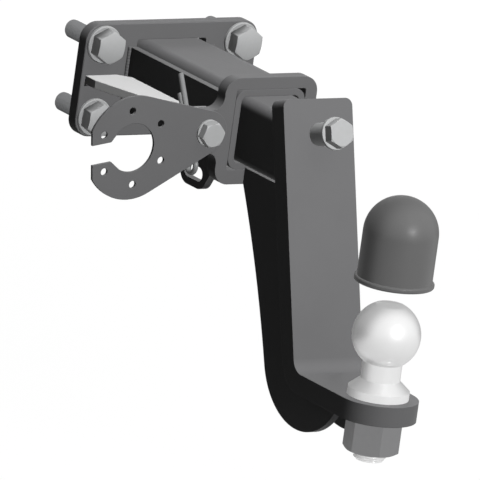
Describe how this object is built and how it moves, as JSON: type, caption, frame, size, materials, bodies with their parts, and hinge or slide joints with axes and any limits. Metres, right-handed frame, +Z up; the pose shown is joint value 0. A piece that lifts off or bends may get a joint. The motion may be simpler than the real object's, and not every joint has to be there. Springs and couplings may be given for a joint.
{
  "type": "car towbar",
  "caption": "Towbar with a flange plate, square receiver, pinned drop arm, tow ball with a rubber cap and a socket plate.",
  "frame": {"origin": "centre of the flange plate's mounting face, midway between the four studs", "axes": "+X to the right, +Y out of the mounting face towards the vehicle, +Z up; the ball stands out along -Y"},
  "size_m": [0.2278, 0.3903, 0.2369],
  "materials": {
    "black_paint": "satin powder coat",
    "grey_paint": "satin primer",
    "zinc_plate": "bright zinc plate",
    "nut_steel": "plain steel",
    "polished_steel": "polished",
    "cap_rubber": "matt moulded rubber"
  },
  "bodies": {
    "towbar": {"arm_bolt": "zinc_plate", "arm_bolt_nut": "zinc_plate", "arm_bolt_washer": "zinc_plate", "arm_rib_left": "black_paint", "arm_rib_right": "black_paint", "ball_nut": "nut_steel", "collar_plate": "black_paint", "drop_arm": "black_paint", "flange_bolt_lower_left": "zinc_plate", "flange_bolt_lower_right": "zinc_plate", "flange_bolt_upper_left": "zinc_plate", "flange_bolt_upper_right": "zinc_plate", "flange_washers": "zinc_plate", "gusset_left": "grey_paint", "gusset_right": "grey_paint", "insert_tube": "black_paint", "mounting_plate": "black_paint", "receiver_tube": "black_paint", "side_plate_left": "black_paint", "side_plate_right": "black_paint", "socket_bolt": "zinc_plate", "socket_nut": "zinc_plate", "socket_plate": "black_paint", "socket_washer": "zinc_plate", "spacer_sleeve": "zinc_plate", "tow_ball": "polished_steel"},
    "cap": {"ball_cap": "cap_rubber"},
    "pin": {"hitch_pin": "zinc_plate", "r_clip": "zinc_plate"}
  },
  "joints": [
    {"name": "cap_lift", "type": "slide", "parent": "towbar", "child": "cap", "axis": [0, 0, 1], "range_m": [-0.076, 0.024]},
    {"name": "pin_turn", "type": "hinge", "parent": "towbar", "child": "pin", "pos_m": [0, -0.1155, 0.002], "axis": [1, 0, 0], "range_deg": [-3, 70]}
  ]
}
